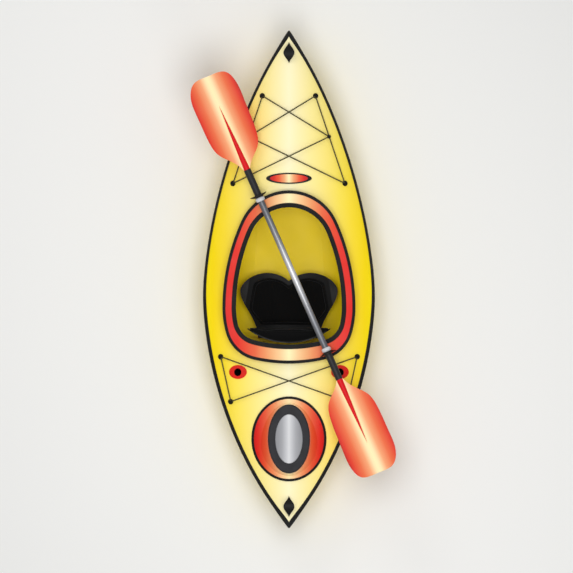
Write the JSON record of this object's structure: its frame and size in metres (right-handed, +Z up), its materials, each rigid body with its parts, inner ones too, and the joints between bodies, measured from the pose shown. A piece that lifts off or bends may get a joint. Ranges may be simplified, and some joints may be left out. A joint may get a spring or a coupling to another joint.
{
  "type": "recreational kayak",
  "caption": "Short sit-inside recreational kayak with seat, stern hatch, deck cords, rod holders, foot braces and a two-piece double-bladed paddle laid across the cockpit.",
  "frame": {"origin": "middle of the flat keel panel, on the plane that the boat stands on", "axes": "+Y towards the bow, +X to starboard, +Z up"},
  "size_m": [1.0068, 2.438, 0.4174],
  "materials": {
    "hull_poly": "semi-gloss rotomoulded polyethylene",
    "deck_poly": "semi-gloss rotomoulded polyethylene",
    "black_rubber": "matt extruded rubber",
    "red_poly": "semi-gloss moulded plastic",
    "black_nylon": "fine-grained moulded nylon",
    "stainless": "plain stainless steel",
    "cord": "braided shock cord",
    "seat_fabric": "black woven cover over foam",
    "foam": "closed-cell foam",
    "brass_insert": "turned brass",
    "grey_rubber": "moulded grey rubber",
    "grey_poly": "satin moulded plastic",
    "shaft_alloy": "anodised aluminium tube",
    "blade_poly": "glass-filled nylon"
  },
  "bodies": {
    "hull": {"aft_cord_eyes": "black_nylon", "aft_deck_cord": "cord", "backrest_brackets": "black_nylon", "backrest_pins": "stainless", "badge_bezel": "black_nylon", "bow_handle": "black_nylon", "bow_pillar": "foam", "cockpit_rim": "red_poly", "cord_clips": "black_nylon", "cord_eye_screws": "stainless", "deck_badge": "red_poly", "deck_shell": "deck_poly", "drain_socket": "black_nylon", "foot_rail_port": "black_nylon", "foot_rail_screws": "stainless", "foot_rail_starboard": "black_nylon", "fore_cord_eyes": "black_nylon", "fore_deck_cord": "cord", "gunwale_trim": "black_rubber", "hatch_flange": "red_poly", "hatch_gasket": "black_rubber", "hatch_screws": "red_poly", "hull_shell": "hull_poly", "rear_bulkhead": "foam", "rim_edging": "black_rubber", "rim_lip": "black_rubber", "rim_rivets": "stainless", "rod_holder_port": "red_poly", "rod_holder_screws": "red_poly", "rod_holder_starboard": "red_poly", "seat_bolts": "stainless", "seat_cushion": "seat_fabric", "seat_inserts": "brass_insert", "seat_pan": "black_nylon", "stern_handle": "black_nylon", "thigh_pad_port": "foam", "thigh_pad_starboard": "foam"},
    "backrest": {"backrest_shell": "black_nylon", "backrest_cushion": "seat_fabric"},
    "hatch_cover": {"hatch_cover_ring": "grey_rubber", "hatch_lid": "grey_poly"},
    "paddle": {"paddle_shaft_bow": "shaft_alloy", "paddle_blade_bow": "blade_poly", "shaft_sleeve_bow": "black_nylon", "drip_hub_bow": "grey_rubber", "drip_cup_bow": "black_nylon", "paddle_ferrule": "shaft_alloy"},
    "paddle_stern": {"paddle_shaft_stern": "shaft_alloy", "paddle_blade_stern": "blade_poly", "shaft_sleeve_stern": "black_nylon", "drip_hub_stern": "grey_rubber", "drip_cup_stern": "black_nylon"},
    "ferrule_button": {"ferrule_button": "black_nylon"},
    "foot_peg_port": {"foot_peg_port": "black_nylon"},
    "foot_peg_starboard": {"foot_peg_starboard": "black_nylon"},
    "drain_plug": {"drain_plug": "black_nylon"}
  },
  "joints": [
    {"name": "backrest_fold", "type": "hinge", "parent": "hull", "child": "backrest", "pos_m": [0, -0.206, 0.104], "axis": [-1, 0, 0], "range_deg": [0, 70]},
    {"name": "hatch_lift", "type": "slide", "parent": "hull", "child": "hatch_cover", "axis": [0, 0, 1], "range_m": [0, 0.2]},
    {"name": "paddle_lift", "type": "slide", "parent": "hull", "child": "paddle", "axis": [0, 0, 1], "range_m": [0, 0.3]},
    {"name": "paddle_feather", "type": "hinge", "parent": "paddle", "child": "paddle_stern", "pos_m": [0.021, 0.076, 0.37441], "axis": [-0.4027, 0.9153, 0], "range_deg": [0, 60]},
    {"name": "button_press", "type": "slide", "parent": "paddle_stern", "child": "ferrule_button", "axis": [0, 0, 1], "range_m": [0, 0.002], "stiffness_N_per_m": 400, "springref_m": -0.002},
    {"name": "peg_slide_port", "type": "slide", "parent": "hull", "child": "foot_peg_port", "axis": [0.2143, 0.9768, 0], "range_m": [0, 0.11]},
    {"name": "peg_slide_starboard", "type": "slide", "parent": "hull", "child": "foot_peg_starboard", "axis": [-0.2143, 0.9768, 0], "range_m": [0, 0.11]},
    {"name": "drain_turn", "type": "hinge", "parent": "hull", "child": "drain_plug", "pos_m": [-0.072, -1.0372, 0.13895], "axis": [-0.7925, -0.5503, -0.2631], "continuous": true}
  ]
}
